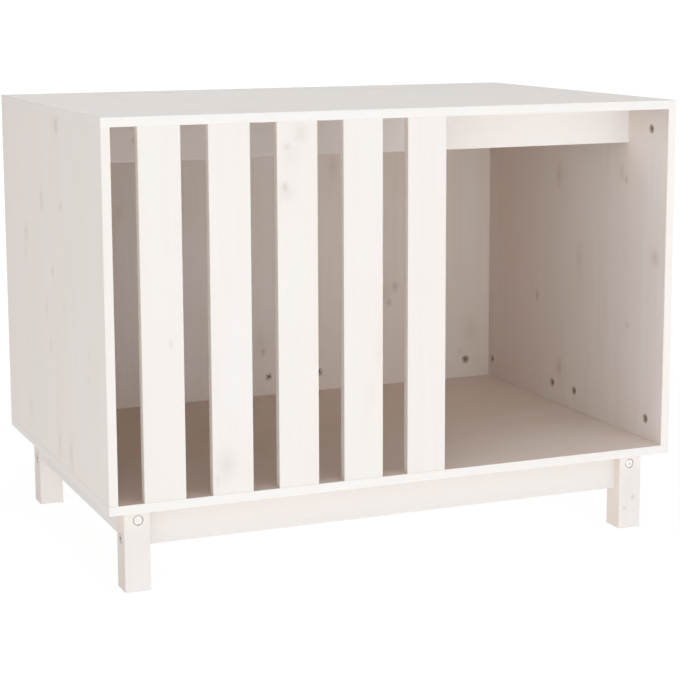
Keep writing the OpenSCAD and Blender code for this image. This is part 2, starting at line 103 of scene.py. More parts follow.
# Boards, with the axes of their grain and their width, the width of a stave, how thin the wash is on their
# outer faces and on the inner one, which way the inner one looks, and their flanks, grey and lean from above
Board = namedtuple("Board", "node grain width stave outer inner inside flank grey lean")
TOP_AND_FLOOR = (
    Board("top_panel", X, Y, 0.100, OUTER, CEILING, (Z, -1), CRISP, CLEAR, EVEN),
    Board("floor_panel", X, Y, 0.200, OUTER, GROUND, (Z, 1), CRISP, CLEAR, FLOOR_LEAN),
)
SIDES = (
    Board("left_side_front_board", Z, Y, 0.075, SIDE, WALL, (X, 1), CRISP, CLEAR, EVEN),
    Board("left_side_rear_board", Z, Y, 0.075, SIDE, WALL, (X, 1), CRISP, CLEAR, CORNER_LEAN),
    Board("right_side_front_board", Z, Y, 0.100, SIDE, WALL, (X, -1), CRISP, PAINTED_LIGHT_MILD, EVEN),
    Board("right_side_rear_board", Z, Y, 0.085, SIDE, WALL, (X, -1), CRISP, CLEAR, CORNER_LEAN),
)
BACK = (
    Board("back_left_board", Z, X, 0.082, OUTER, LEFT_BACK, (Y, -1), CRISP, PAINTED_LIGHT_STRONG, EVEN),
    Board("back_right_board", Z, X, 0.082, OUTER, RIGHT_BACK, (Y, -1), CRISP, PAINTED_LIGHT_STRONG, EVEN),
)
SLATS = tuple(
    Board("slat_%d" % number, Z, X, 0.08, OUTER, SLAT_REAR, (Y, 1), ROUGH_SAWN_AND_SHADED, HAZY, EVEN)
    for number in range(1, 6)
)
RAIL = (Board("header_rail", X, Z, 0.08, RAIL_FACE, CEILING, (Y, 1), ALIKE, CLEAR, RAIL_LEAN),)
LEGS = tuple(
    Board("leg_%s" % corner, Z, X, 0.05, LEG_FACE, LEG_FACE, None, SAWN_AND_SHADED, DULL, LEG_LEAN)
    for corner in ("front_left", "front_right", "rear_left", "rear_right")
)
SKIRTS = (
    Board("front_skirt", X, Z, 0.08, SKIRT_FACE, OUTER, (Y, 1), ALIKE, PAINTED_SHADE_GREY, SKIRT_LEAN),
    Board("rear_skirt", X, Z, 0.08, SKIRT_FACE, OUTER, (Y, -1), ALIKE, PAINTED_SHADE_GREY, SKIRT_LEAN),
    Board("left_skirt", Y, Z, 0.08, SKIRT_FACE, OUTER, (X, 1), ALIKE, PAINTED_SHADE_GREY, SKIRT_LEAN),
    Board("right_skirt", Y, Z, 0.08, SKIRT_FACE, OUTER, (X, -1), ALIKE, PAINTED_SHADE_GREY, SKIRT_LEAN),
)
ALL_BOARDS = TOP_AND_FLOOR + SIDES + BACK + SLATS + RAIL + LEGS + SKIRTS
FIRST_SEED, SEED_STEP = 5, 11

# Knots

Knot = namedtuple("Knot", "along across radius slim strength")


def knot(along, across, radius, slim, strength):
    """A knot through a board, in millimetres along and across the grain, as wide as slim times its length."""
    return Knot(along * MM, across * MM, radius * MM, slim, strength)


SEEN_KNOTS = {
    "floor_panel": (),
    "left_side_front_board": (
        knot(646, -58, 13, 0.8, 0.3), knot(530, -76, 9, 1.0, 0.22), knot(427, -15, 8, 0.8, 0.3),
        knot(378, -76, 7, 0.8, 0.15), knot(333, -213, 7, 0.5, 0.12), knot(300, -205, 6, 0.5, 0.1),
        knot(168, -32, 9, 0.5, 0.25), knot(166, -98, 10, 0.45, 0.22), knot(152, -104, 7, 0.5, 0.18),
    ),
    "left_side_rear_board": (
        knot(528, 43, 13, 0.55, 0.25), knot(464, 150, 16, 0.8, 0.22), knot(435, 157, 9, 0.6, 0.18),
        knot(363, 30, 9, 0.45, 0.2), knot(308, 8, 11, 0.8, 0.18), knot(182, 150, 10, 0.6, 0.2),
    ),
    "right_side_front_board": (
        knot(541, -182, 5, 0.7, 0.5), knot(551, -168, 9, 0.5, 0.2), knot(395, -38, 12, 0.4, 0.15),
        knot(427, -270, 13, 0.8, 0.3), knot(309, -193, 5, 0.7, 0.3),
    ),
    "right_side_rear_board": (
        knot(530, 34, 12, 0.5, 0.3), knot(515, 185, 11, 0.6, 0.18), knot(313, 104, 7, 0.5, 0.6),
        knot(328, 122, 14, 0.5, 0.18), knot(200, 24, 12, 0.6, 0.3),
    ),
    "back_left_board": (
        knot(214, -6, 5, 0.6, 0.5), knot(230, -10, 14, 0.5, 0.12), knot(470, -260, 8, 0.6, 0.12),
    ),
    "back_right_board": (
        knot(313, 247, 7, 0.7, 0.45), knot(285, 235, 6, 0.7, 0.45), knot(302, 228, 14, 0.6, 0.15),
        knot(532, 128, 9, 0.4, 0.2), knot(222, 400, 14, 0.5, 0.14), knot(184, 377, 6, 0.6, 0.15),
    ),
    "slat_1": (knot(358, -357, 4, 0.6, 0.22),),
    "slat_2": (
        knot(178, -279, 17, 0.6, 0.20), knot(186, -276, 6, 0.5, 0.22), knot(160, -291, 7, 0.5, 0.2),
    ),
    "slat_3": (
        knot(643, -163, 15, 0.8, 0.18), knot(634, -170, 10, 1.2, 0.16), knot(624, -184, 7, 1.0, 0.28),
        knot(615, -178, 18, 0.6, 0.1), knot(568, -187, 7, 0.8, 0.42), knot(561, -185, 14, 0.8, 0.16),
    ),
    "slat_4": (knot(321, -43, 6, 0.3, 0.06), knot(264, -55, 6, 0.3, 0.06)),
    "slat_5": (),
    "header_rail": (knot(-369, 630, 4, 0.8, 0.35),),
    "leg_front_left": (),
    "leg_front_right": (knot(48, 407, 5, 0.9, 0.4), knot(32, 393, 4.5, 1.1, 0.35)),
    "front_skirt": (),
    "left_skirt": (),
}

# Knots drawn at random: one to so many square metres, so far in from the edges, and within these measures
AREA_PER_KNOT = 0.055
KNOT_MARGIN = 0.02
KNOT_RADII = (0.005, 0.006, 0.007, 0.012)
KNOT_SLIM = (0.5, 0.9)
KNOT_STRENGTH = (0.2, 0.45)


def knots_of(board, seed):
    """The knots that the photo shows on a board, or a few drawn at random where it hardly shows the board."""
    if board.node in SEEN_KNOTS:
        return SEEN_KNOTS[board.node]
    low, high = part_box(board.node)
    long_side = high[board.grain] - low[board.grain]
    wide_side = high[board.width] - low[board.width]
    margin = min(KNOT_MARGIN, wide_side / 3)
    draw = random.Random(seed)
    found = []
    for _ in range(round(long_side * wide_side / AREA_PER_KNOT)):
        along = draw.uniform(low[board.grain] + margin, high[board.grain] - margin)
        across = draw.uniform(low[board.width] + margin, high[board.width] - margin)
        radius = draw.choice(KNOT_RADII)
        found.append(Knot(along, across, radius, draw.uniform(*KNOT_SLIM), draw.uniform(*KNOT_STRENGTH)))
    return tuple(found)


# Settings

class WashSettings(bpy.types.PropertyGroup):
    """The pine and the white wash over it."""

    wash: bpy.props.FloatVectorProperty(
        name="Wash", description="Colour of the white wash", subtype="COLOR", default=(0.925, 0.905, 0.888))
    rosy: bpy.props.FloatVectorProperty(
        name="Rosy pine", description="Colour of the redder pine where it shows through", subtype="COLOR",
        default=(0.86, 0.63, 0.51))
    straw: bpy.props.FloatVectorProperty(
        name="Straw pine", description="Colour of the yellower pine where it shows through", subtype="COLOR",
        default=(0.80, 0.665, 0.50))
    # Also the colour that the painted shade darkens towards
    knot: bpy.props.FloatVectorProperty(
        name="Knots", description="Colour of a knot under the wash", subtype="COLOR",
        default=(0.50, 0.42, 0.37))
    # Greying the skirts with this colour is painted shade under the floor panel; a share below nothing pushes
    # a board's wash whiter, as painted light
    grey: bpy.props.FloatVectorProperty(
        name="Grey bloom", description="Colour of the grey that dulls the wash low down", subtype="COLOR",
        default=(0.74, 0.73, 0.73))
    # Painted light: the inner faces get thicker, whiter wash just inside the front, where more light falls
    # in; the spray reach says how far in that goes
    painted_front_light: bpy.props.FloatProperty(
        name="Thicker at the front", description="How much thicker the wash is just inside the front",
        subtype="FACTOR", default=0.24)
    reach: bpy.props.FloatProperty(
        name="Spray reach", description="How far in from the front the wash goes on more thickly",
        unit="LENGTH", default=0.50)
    ring: bpy.props.FloatProperty(
        name="Ring width", description="Width of one year's growth", unit="LENGTH", default=0.0036)
    fibre: bpy.props.FloatProperty(
        name="Fibre width", description="Width of the finest lines of the grain", unit="LENGTH",
        default=0.0009)
    # The darker sawn flanks are partly their own stain and partly painted shade
    sawn_stain_and_shade: bpy.props.FloatProperty(
        name="Sawn stain", description="How much darker the rough sawn faces are", subtype="FACTOR",
        default=0.35)
    relief: bpy.props.FloatProperty(
        name="Relief", description="Depth of the brushed grain", unit="LENGTH", default=0.00025)
    worn: bpy.props.FloatProperty(
        name="Worn edge", description="Width of the strip along each edge where the wash is thin",
        unit="LENGTH", default=0.0014)
    roughness: bpy.props.FloatProperty(
        name="Roughness", description="Roughness of the wash", subtype="FACTOR", default=0.68)
    gloss: bpy.props.FloatProperty(
        name="Gloss", description="Specular level of the wash", subtype="FACTOR", default=0.15)


class FittingSettings(bpy.types.PropertyGroup):
    """The metal fittings and the dowels."""

    zinc: bpy.props.FloatVectorProperty(
        name="Cast zinc", description="Colour of the cam locks and nuts", subtype="COLOR",
        default=(0.74, 0.65, 0.59))
    # Painted shade: the colour that the hollows of the cam locks are darkened to
    painted_hollow_shade: bpy.props.FloatVectorProperty(
        name="Dust", description="Colour of the dust in the hollows of the cam locks", subtype="COLOR",
        default=(0.25, 0.195, 0.155))
    hollow: bpy.props.FloatProperty(
        name="Hollow", description="Depth below which a hollow of a cam lock is full of dust", unit="LENGTH",
        default=0.0015)
    steel: bpy.props.FloatVectorProperty(
        name="Bright steel", description="Colour of the screws and of the bolts, apart from the dull ones",
        subtype="COLOR", default=(0.93, 0.92, 0.90))
    # Painted shade: a darker copy of the steel for the bolts in the legs' outer side faces
    shade_painted_steel: bpy.props.FloatVectorProperty(
        name="Dull steel", description="Colour of the bolts in the legs' outer side faces", subtype="COLOR",
        default=(0.54, 0.51, 0.49))
    beech: bpy.props.FloatVectorProperty(
        name="Beech", description="Colour of the dowels", subtype="COLOR", default=(0.68, 0.48, 0.29))
    zinc_roughness: bpy.props.FloatProperty(
        name="Zinc roughness", description="Roughness of the cast zinc", subtype="FACTOR", default=0.48)
    steel_roughness: bpy.props.FloatProperty(
        name="Steel roughness", description="Roughness of the steel", subtype="FACTOR", default=0.28)


class StudioSettings(bpy.types.PropertyGroup):
    """Camera, floor and light."""

    lens: bpy.props.FloatProperty(
        name="Lens", description="Focal length of the camera on a 36 mm sensor", subtype="DISTANCE_CAMERA",
        default=98.52)
    place: bpy.props.FloatVectorProperty(
        name="Camera place", description="Where the camera stands", subtype="TRANSLATION",
        default=(-1.111, -2.715, 0.841))
    turn: bpy.props.FloatProperty(
        name="Turn", description="Turn of the camera to the right of the house's depth", subtype="ANGLE",
        default=math.radians(22.63))
    tilt: bpy.props.FloatProperty(
        name="Tilt", description="Tilt of the camera below level", subtype="ANGLE",
        default=math.radians(9.07))
    roll: bpy.props.FloatProperty(
        name="Roll", description="Roll of the camera", subtype="ANGLE", default=math.radians(-0.21))
    rise: bpy.props.FloatProperty(
        name="Vertical shift", description="Shift of the lens as a share of the picture", default=-0.08)
    floor: bpy.props.FloatVectorProperty(
        name="Floor", description="Colour of the studio floor", subtype="COLOR", default=(0.80, 0.80, 0.80))
    sky: bpy.props.FloatProperty(
        name="Surround", description="Strength of the light from all around", default=0.19)
    # Painted light: the floor glows with this strength and so lights the house from below, though it is no
    # lamp
    floor_glow: bpy.props.FloatProperty(
        name="Bounce", description="Strength of the light that rises from the floor", default=0.50)
    power: bpy.props.FloatProperty(
        name="Lamps", description="Power of the front lamp, which the other lamps follow", subtype="POWER",
        default=25.0)


# Shader maths

class Signal:
    """A shader socket that takes part in ordinary expressions."""

    def __init__(self, graph, socket):
        self.graph = graph
        self.socket = socket

    def __add__(self, other):
        return self.graph.calc("ADD", self, other)

    def __radd__(self, other):
        return self.graph.calc("ADD", other, self)

    def __sub__(self, other):
        return self.graph.calc("SUBTRACT", self, other)

    def __rsub__(self, other):
        return self.graph.calc("SUBTRACT", other, self)

    def __mul__(self, other):
        return self.graph.calc("MULTIPLY", self, other)

    def __rmul__(self, other):
        return self.graph.calc("MULTIPLY", other, self)

    def __truediv__(self, other):
        return self.graph.calc("DIVIDE", self, other)

    def __rtruediv__(self, other):
        return self.graph.calc("DIVIDE", other, self)

    def __pow__(self, other):
        return self.graph.calc("POWER", self, other)

    def __rpow__(self, other):
        return self.graph.calc("POWER", other, self)

    def __abs__(self):
        return self.graph.calc("ABSOLUTE", self)

    def floor(self):
        return self.graph.calc("FLOOR", self)

    def fract(self):
        return self.graph.calc("FRACT", self)

    def least(self, other):
        return self.graph.calc("MINIMUM", self, other)

    def most(self, other):
        return self.graph.calc("MAXIMUM", self, other)


# The colour sockets of a Mix node
FIRST_COLOUR, SECOND_COLOUR, MIXED_COLOUR = 6, 7, 2


class Graph:
    """The node tree of a material or of the world, filled by expressions."""

    def __init__(self, owner):
        owner.use_nodes = True
        self.tree = owner.node_tree
        self.tree.nodes.clear()

    def node(self, kind, settings=None, inputs=None, output=0):
        """Adds a node, sets it up, feeds its sockets, and gives back an output, or a list of several."""
        node = self.tree.nodes.new(kind)
        for name, value in (settings or {}).items():
            setattr(node, name, value)
        for name, value in (inputs or {}).items():
            if isinstance(value, Signal):
                self.tree.links.new(value.socket, node.inputs[name])
            else:
                node.inputs[name].default_value = value
        if isinstance(output, tuple):
            return [Signal(self, node.outputs[name]) for name in output]
        return Signal(self, node.outputs[output])

    def calc(self, operation, *values):
        return self.node("ShaderNodeMath", {"operation": operation}, dict(enumerate(values)))

    def vector(self, operation, *values, output="Vector"):
        return self.node("ShaderNodeVectorMath", {"operation": operation}, dict(enumerate(values)), output)

    def mix(self, share, first, second):
        """Colour between two colours."""
        inputs = {0: share}
        for slot, value in ((FIRST_COLOUR, first), (SECOND_COLOUR, second)):
            inputs[slot] = value if isinstance(value, Signal) else (*value, 1)
        return self.node("ShaderNodeMix", {"data_type": "RGBA"}, inputs, MIXED_COLOUR)

    def mix_shader(self, share, first, second):
        return self.node("ShaderNodeMixShader", None, {0: share, 1: first, 2: second})

    def fade(self, value, start, end, low=0.0, high=1.0):
        """Goes smoothly from low to high as value goes from start to end."""
        inputs = {"Value": value, "From Min": start, "From Max": end, "To Min": low, "To Max": high}
        return self.node("ShaderNodeMapRange", {"interpolation_type": "SMOOTHSTEP"}, inputs)

    def split(self, vector):
        return self.node("ShaderNodeSeparateXYZ", None, {0: vector}, ("X", "Y", "Z"))

    def join(self, x, y, z):
        return self.node("ShaderNodeCombineXYZ", None, {0: x, 1: y, 2: z})

    def place(self):
        """Where a point of the object lies, in metres."""
        return self.node("ShaderNodeTexCoord", output="Object")

    def noise(self, vector, scale=1.0, detail=2.0, roughness=0.5, distortion=0.0):
        inputs = {"Vector": vector, "Scale": scale, "Detail": detail, "Roughness": roughness,
                  "Distortion": distortion}
        return self.node("ShaderNodeTexNoise", None, inputs)

    def bump(self, height, depth, strength):
        return self.node("ShaderNodeBump", None, {"Strength": strength, "Distance": depth, "Height": height})

    def surface(self, colour, roughness, normal, more=None):
        """A plain surface shader, with a few more of its sockets by name."""
        inputs = {"Base Color": colour, "Roughness": roughness, "Normal": normal, **(more or {})}
        return self.node("ShaderNodeBsdfPrincipled", None, inputs)

    def white_light(self, kind, strength):
        """White light that comes from a surface or from all around."""
        return self.node(kind, None, {"Color": (1, 1, 1, 1), "Strength": strength})

    def finish(self, shader, kind="ShaderNodeOutputMaterial"):
        """Makes a shader the result of the tree."""
        self.node(kind, None, {"Surface": shader}, ())


def new_material(name):
    material = bpy.data.materials.new(name)
    return material, Graph(material)


def dimmed(colour, share):
    """A colour with only a share of its light."""
    return tuple(share * part for part in colour)


def wear(node, material):
    """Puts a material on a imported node."""
    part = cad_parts[node]
    for slot in part.material_slots:
        slot.material = material


# Whitewashed pine

# How squarely a face looks along an axis where it begins to count as facing that way, and where it fully does
ASKEW, SQUARE = 0.7, 0.95

# How far the noise of one stave lies from that of the next
STAVE_SHIFT = 3.7

# Where the heart of a stave's tree lies: in how wide a strip around the stave's middle, how far at least
# beyond the board, and how much farther at most
HEART_STRIP = 0.07
HEART_BEYOND = 0.02
HEART_FARTHER = 0.06

# How far a year ring strays from a circle, how much its radius varies in a metre, and how far a knot moves it
RING_BEND = 0.014
RING_TAPER = 0.02
RING_SWELL = 0.005

# Where the late wood of a year begins and where it is full, and where the year ends, as shares of the year
LATE_WOOD = (0.35, 0.9)
YEAR_END = (1.0, 0.93)

# Where a knot, its dark eye, the thin wash around it and the swollen rings begin and where they are full,
# in radii of the knot
KNOT_RIM = (1.4, 0.2)
EYE_RIM = (0.55, 0.1)
HALO_RIM = (3.2, 1.0)
SWELL_RIM = (4.0, 0.6)
FAR_FROM_KNOTS = 9.0

# How ragged a knot's outline is, and how much of its darkness lies outside its eye
KNOT_RAGGED = 0.005
KNOT_TONE = 0.7

# How many marks there are to a metre along the grain and across it
STREAK_MARKS = (1.6, 70.0)
CLOUD_MARKS = (4.0, 10.0)
BEND_MARKS = (2.4, 8.0)
PATCH_MARKS = (2.0, 9.0)
PATCH_SHIFT = 40.0
FIBRE_MARKS_ALONG = 12.0

# How much each mark thins the wash, what the late wood does on average, and how a streak varies a worn edge
LATE_THINS = 0.035
LATE_MEAN = 0.012
FIBRE_THINS = 0.10
STREAK_THINS = 0.16
CLOUD_THINS = 0.22
STAVE_THINS = 0.06
END_THINS = 0.05
HALO_THINS = 0.03
EDGE_THINS = 0.03
EDGE_VARIES = 0.4

# How much it roughens the surface, and how much a knot smooths it
LATE_ROUGHENS = 0.05
FIBRE_ROUGHENS = 0.16
END_ROUGHENS = 0.15
KNOT_SMOOTHS = 0.12

# How much it raises the surface, as a share of the relief, and how much a knot and a worn edge lower it
LATE_RAISES = 0.5
FIBRE_RAISES = 0.35
STREAK_RAISES = 0.3
KNOT_LOWERS = 0.4
EDGE_LOWERS = 0.3
RELIEF_STRENGTH = 0.6

# How strongly the marks thin the wash on the outer faces, and how much more on the inner one
CONTRAST = 0.75
MORE_INSIDE = 0.5

# How far the pine is from rosy towards straw: the least, how much it varies by stave and by patch, and where
# it is all rosy and all straw
LEAST_STRAW = 0.2
STAVE_STRAW = 0.4
PATCH_STRAW = 1.2
ALL_ROSY, ALL_STRAW = 0.2, 0.9

# How dark an upright board is painted in the strip at its foot, as a painted shadow where it stands on the
# board below, and on its inner face just below the top, as painted shade under the top, and how far down that
# goes
FOOT_SHADE = 0.3
HEAD_SHADE = 0.3
HEAD_DEPTH = 0.07


class Plank:
    """A board's graph: where a point lies on the board, and the masks that its finish is mixed from."""

    def __init__(self, board, seed, wash):
        self.board = board
        self.seed = seed
        self.wash = wash
        self.material, self.graph = new_material("whitewashed_pine_" + board.node)
        self.low, self.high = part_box(board.node)
        self.thickness = X + Y + Z - board.grain - board.width
        self.spot = self.graph.split(self.graph.place())
        self.along = self.spot[board.grain]
        self.across = self.spot[board.width]
        self.deep = self.spot[self.thickness]
        self.find_faces()
        self.find_staves()
        self.find_knots()
        self.late = self.late_wood()
        self.streak = self.solid_marks(*STREAK_MARKS, detail=3.0)
        self.fibre = self.solid_marks(FIBRE_MARKS_ALONG, 1 / wash.fibre)
        self.cloud = self.solid_marks(*CLOUD_MARKS)
        self.edge = self.edges()
        self.lean = self.leaning() if board.lean else 0.0

    def marks(self, along, across, layer, detail=2.0):
        """Noise about nothing, with so many marks to a metre along the grain and across it."""
        place = self.graph.join(self.along * along, self.across * across, layer)
        return self.graph.noise(place, detail=detail) - 0.5

    def solid_marks(self, along, across, detail=2.0):
        """Marks that change through the board's thickness as they do across it."""
        return self.marks(along, across, self.deep * across + self.shift, detail)

    def find_faces(self):
        """Masks of the end faces, the flanks and the face that looks inwards."""
        facing = self.graph.split(self.graph.node("ShaderNodeTexCoord", output="Normal"))
        self.end = self.graph.fade(abs(facing[self.board.grain]), ASKEW, SQUARE)
        self.flank = self.graph.fade(abs(facing[self.board.width]), ASKEW, SQUARE)
        self.inner = 0.0
        if self.board.inside:
            axis, sign = self.board.inside
            self.inner = self.graph.fade(facing[axis] * sign, ASKEW, SQUARE)

    def find_staves(self):
        """A point's stave: its three random numbers, the way to the point from its middle, and its shift."""
        start = self.low[self.board.width]
        stave = ((self.across - start) / self.board.stave).floor()
        inputs = {"W": stave + self.seed}
        luck = self.graph.node("ShaderNodeTexWhiteNoise", {"noise_dimensions": "1D"}, inputs, "Color")
        self.luck = self.graph.split(luck)
        self.from_middle = self.across - (stave + 0.5) * self.board.stave - start
        self.shift = stave * STAVE_SHIFT + self.seed

    def find_knots(self):
        """Masks of the knots, their eyes, the thin wash around them and the rings that they swell."""
        graph = self.graph
        wobble = graph.noise(graph.join(self.along, self.across, self.shift), scale=110.0) - 0.5
        flat = graph.join(self.along, self.across + wobble * KNOT_RAGGED, 0.0)
        self.knotted = 0.0
        nearest = FAR_FROM_KNOTS
        for item in knots_of(self.board, self.seed):
            stretched = graph.vector("MULTIPLY", flat, (item.slim, 1, 0))
            centre = (item.along * item.slim, item.across, 0)
            away = graph.vector("DISTANCE", stretched, centre, output="Value") / item.radius
            self.knotted = graph.fade(away, *KNOT_RIM, 0.0, item.strength).most(self.knotted)
            nearest = away.least(nearest)
        self.swell = graph.fade(nearest, *SWELL_RIM)
        self.halo = graph.fade(nearest, *HALO_RIM)
        self.eye = graph.fade(nearest, *EYE_RIM)

    def late_wood(self):
        """Mask of the dark late wood in the year rings, round a heart that lies beyond the board."""
        sideways = self.from_middle - (self.luck[0] - 0.5) * HEART_STRIP
        inwards = self.deep - self.low[self.thickness] + HEART_BEYOND + self.luck[1] * HEART_FARTHER
        bend = self.marks(*BEND_MARKS, self.shift)
        taper = self.along * (self.luck[2] - 0.5) * RING_TAPER
        radius = (sideways * sideways + inwards * inwards) ** 0.5
        radius = radius + bend * RING_BEND + taper + self.swell * RING_SWELL
        year = (radius / self.wash.ring).fract()
        return self.graph.fade(year, *LATE_WOOD) * self.graph.fade(year, *YEAR_END)

    def edges(self):
        """Mask of the worn edges, where a point is close to two sides of the board's box."""
        closeness = []
        for axis in (X, Y, Z):
            inset = (self.spot[axis] - self.low[axis]).least(self.high[axis] - self.spot[axis])
            closeness.append(self.graph.fade(inset, self.wash.worn, 0.0))
        x, y, z = closeness
        return (x * y).most(y * z).most(z * x)

    def leaning(self):
        """How far a point lies along the board's lean of painted light and shade, on its broad faces or on
        every face of a leg.
        """
        axis = self.board.lean.axis
        ends = (self.low[axis], self.high[axis])[::self.board.lean.toward]
        faces = 1.0 - self.flank - self.end if self.board.inside else 1.0
        return self.graph.fade(self.spot[axis], *ends) * faces

    def bareness(self):
        """How much of the pine shows through the wash, with painted light and shade in it."""
        board, wash = self.board, self.wash
        front = CAD_BOX[0][Y]
        # Painted light: thicker, whiter wash on the inner faces just inside the front opening
        painted_front_light = wash.painted_front_light if board.grain == Z else wash.painted_front_light / 2
        painted_front_light = self.graph.fade(self.spot[Y], front, front + wash.reach, painted_front_light, 0.0)
        bare = board.outer + self.inner * (board.inner - board.outer - painted_front_light) + self.flank * board.flank
        # Painted light and shade along the lean: the wash thins towards the far end, or thickens
        if board.lean:
            bare = bare + self.lean * board.lean.thin
        contrast = CONTRAST + self.inner * MORE_INSIDE
        grain = self.late * LATE_THINS - LATE_MEAN + self.streak * STREAK_THINS + self.fibre * FIBRE_THINS
        grain = grain + self.cloud * CLOUD_THINS + (self.luck[0] - 0.5) * STAVE_THINS
        bare = bare + contrast * grain + self.edge * (EDGE_THINS + self.streak * EDGE_VARIES)
        bare = bare + self.end * END_THINS + self.halo * HALO_THINS
        return bare.most(0.0).least(1.0)

    def pine_tone(self):
        """The pine's own colour, from rosy to straw."""
        patch = self.marks(*PATCH_MARKS, self.shift + PATCH_SHIFT, detail=1.0)
        straw = self.luck[2] * STAVE_STRAW + LEAST_STRAW + patch * PATCH_STRAW
        share = self.graph.fade(straw, ALL_ROSY, ALL_STRAW)
        return self.graph.mix(share, tuple(self.wash.rosy), tuple(self.wash.straw))

    def darkness(self):
        """How dark the knots are, and the sawn flanks, partly stained and partly painted shade, and the
        painted shade at feet, below the top and along a lean.
        """
        board = self.board
        lean_shade, foot, head = 0.0, 0.0, 0.0
        if board.lean:
            # Painted shade along the lean: darker towards the far end
            lean_shade = self.lean * board.lean.dark * (self.inner if board.lean.within else 1.0 - self.inner)
        if board.grain == Z:
            # Painted shadow along the foot, as wide as a worn edge, and painted shade on the inner face below
            # the top
            foot = self.graph.fade(self.along - self.low[Z], self.wash.worn, 0.0, 0.0, FOOT_SHADE)
            below_top = self.graph.fade(self.high[Z] - self.along, HEAD_DEPTH, 0.0, 0.0, HEAD_SHADE)
            head = below_top * self.inner
        # Sawn flanks: partly their own stain, partly painted shade
        sawn_stain_and_shade = self.flank * (self.wash.sawn_stain_and_shade * max(board.flank, 0.0))
        stain_and_painted_shade = sawn_stain_and_shade.most(lean_shade).most(foot).most(head)
        return (self.knotted * (KNOT_TONE + (1 - KNOT_TONE) * self.eye)).most(stain_and_painted_shade).least(1.0)

    def colour(self):
        """The wash over the pine, with the knots, the sawn stain and the painted shade over both."""
        # The grey share: painted shade on the skirts, and painted light where it is below nothing
        white = tuple(Vector(self.wash.wash).lerp(Vector(self.wash.grey), self.board.grey))
        washed = self.graph.mix(self.bareness(), white, self.pine_tone())
        # The painted shade darkens towards the knot colour too
        return self.graph.mix(self.darkness(), washed, tuple(self.wash.knot))

    def roughness(self):
        """Rougher in the grain and on the ends, and smoother on the knots."""
        rough = self.wash.roughness + self.fibre * FIBRE_ROUGHENS + self.late * LATE_ROUGHENS
        return rough + self.end * END_ROUGHENS - self.knotted * KNOT_SMOOTHS

    def relief(self):
        """The brushed grain, with the knots and the worn edges below it."""
        height = self.late * LATE_RAISES + self.fibre * FIBRE_RAISES + self.streak * STREAK_RAISES
        height = height - self.knotted * KNOT_LOWERS - self.edge * EDGE_LOWERS
        return self.graph.bump(height, self.wash.relief, RELIEF_STRENGTH)


def pine(board, seed, wash):
    """Whitewashed pine with the board's own staves, year rings, fibres, knots and worn edges."""
    plank = Plank(board, seed, wash)
    gloss = {"Specular IOR Level": wash.gloss}
    plank.graph.finish(plank.graph.surface(plank.colour(), plank.roughness(), plank.relief(), gloss))
    return plank.material


# Fittings

# Cast zinc: how much light its dark grains keep, how much grains and the painted shade in its hollows roughen
# it, how metallic it is, and how much less so in those hollows
ZINC_DARK = 0.62
ZINC_GRAIN_ROUGHENS = 0.3
HOLLOW_ROUGHENS = 0.3
ZINC_METAL = 0.75
HOLLOW_DULLS = 0.65

# Plated steel: how much light its bloom keeps, how much scratches and bloom roughen it, how metallic it is
BLOOM_DARK = 0.82
SCRATCHES_ROUGHEN = 0.22
BLOOM_ROUGHENS = 0.1
STEEL_METAL = 0.8

# Beech: how much light its flecks keep, how rough it is, and how much the flecks vary that
FLECK_DARK = 0.72
BEECH_ROUGHNESS = 0.6
FLECKS_ROUGHEN = 0.2


def cast_zinc(fittings, node, facing):
    """Dull cast zinc with a grainy skin, and painted shade, rougher and less metallic, in what lies below the
    face that looks out of the wood.
    """
    material, graph = new_material("cast_zinc_" + node)
    place = graph.place()
    axis, sign = facing
    low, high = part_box(node)
    face = high[axis] if sign > 0 else low[axis]
    depth = (face - graph.split(place)[axis]) * sign
    # Painted shade in the hollows below the face
    painted_hollow_shade = graph.fade(depth, fittings.hollow / 4, fittings.hollow)
    grains = graph.noise(place, scale=1600.0, detail=3.0, roughness=0.6)
    cloud = graph.noise(place, scale=180.0)
    light = tuple(fittings.zinc)
    brightness = graph.fade(grains * 0.6 + cloud * 0.4, 0.35, 0.65)
    colour = graph.mix(brightness, dimmed(light, ZINC_DARK), light)
    colour = graph.mix(painted_hollow_shade, colour, tuple(fittings.painted_hollow_shade))
    rough = fittings.zinc_roughness + (grains - 0.5) * ZINC_GRAIN_ROUGHENS + painted_hollow_shade * HOLLOW_ROUGHENS
    normal = graph.bump(grains, depth=0.00008, strength=0.5)
    graph.finish(graph.surface(colour, rough, normal, {"Metallic": ZINC_METAL - painted_hollow_shade * HOLLOW_DULLS}))
    return material


def plated_steel(name, light, fittings):
    """Plated steel with fine turning marks and a faint bloom."""
    material, graph = new_material(name)
    place = graph.place()
    scratches = graph.noise(place, scale=2600.0, distortion=1.5)
    bloom = graph.noise(place, scale=240.0)
    colour = graph.mix(graph.fade(bloom, 0.35, 0.7), light, dimmed(light, BLOOM_DARK))
    rough = fittings.steel_roughness + (scratches - 0.5) * SCRATCHES_ROUGHEN + (bloom - 0.5) * BLOOM_ROUGHENS
    normal = graph.bump(scratches, depth=0.00003, strength=0.3)
    graph.finish(graph.surface(colour, rough, normal, {"Metallic": STEEL_METAL}))
    return material


def raw_beech(fittings):
    """Raw beech with short flecks."""
    material, graph = new_material("beech_dowel")
    place = graph.place()
    flecks = graph.noise(place, scale=900.0, roughness=0.6)
    cloud = graph.noise(place, scale=60.0)
    light = tuple(fittings.beech)
    darkness = graph.fade(flecks * 0.7 + cloud * 0.3, 0.4, 0.7)
    colour = graph.mix(darkness, light, dimmed(light, FLECK_DARK))
    normal = graph.bump(flecks, depth=0.0001, strength=0.4)
    rough = BEECH_ROUGHNESS + (flecks - 0.5) * FLECKS_ROUGHEN
    graph.finish(graph.surface(colour, rough, normal))
    return material


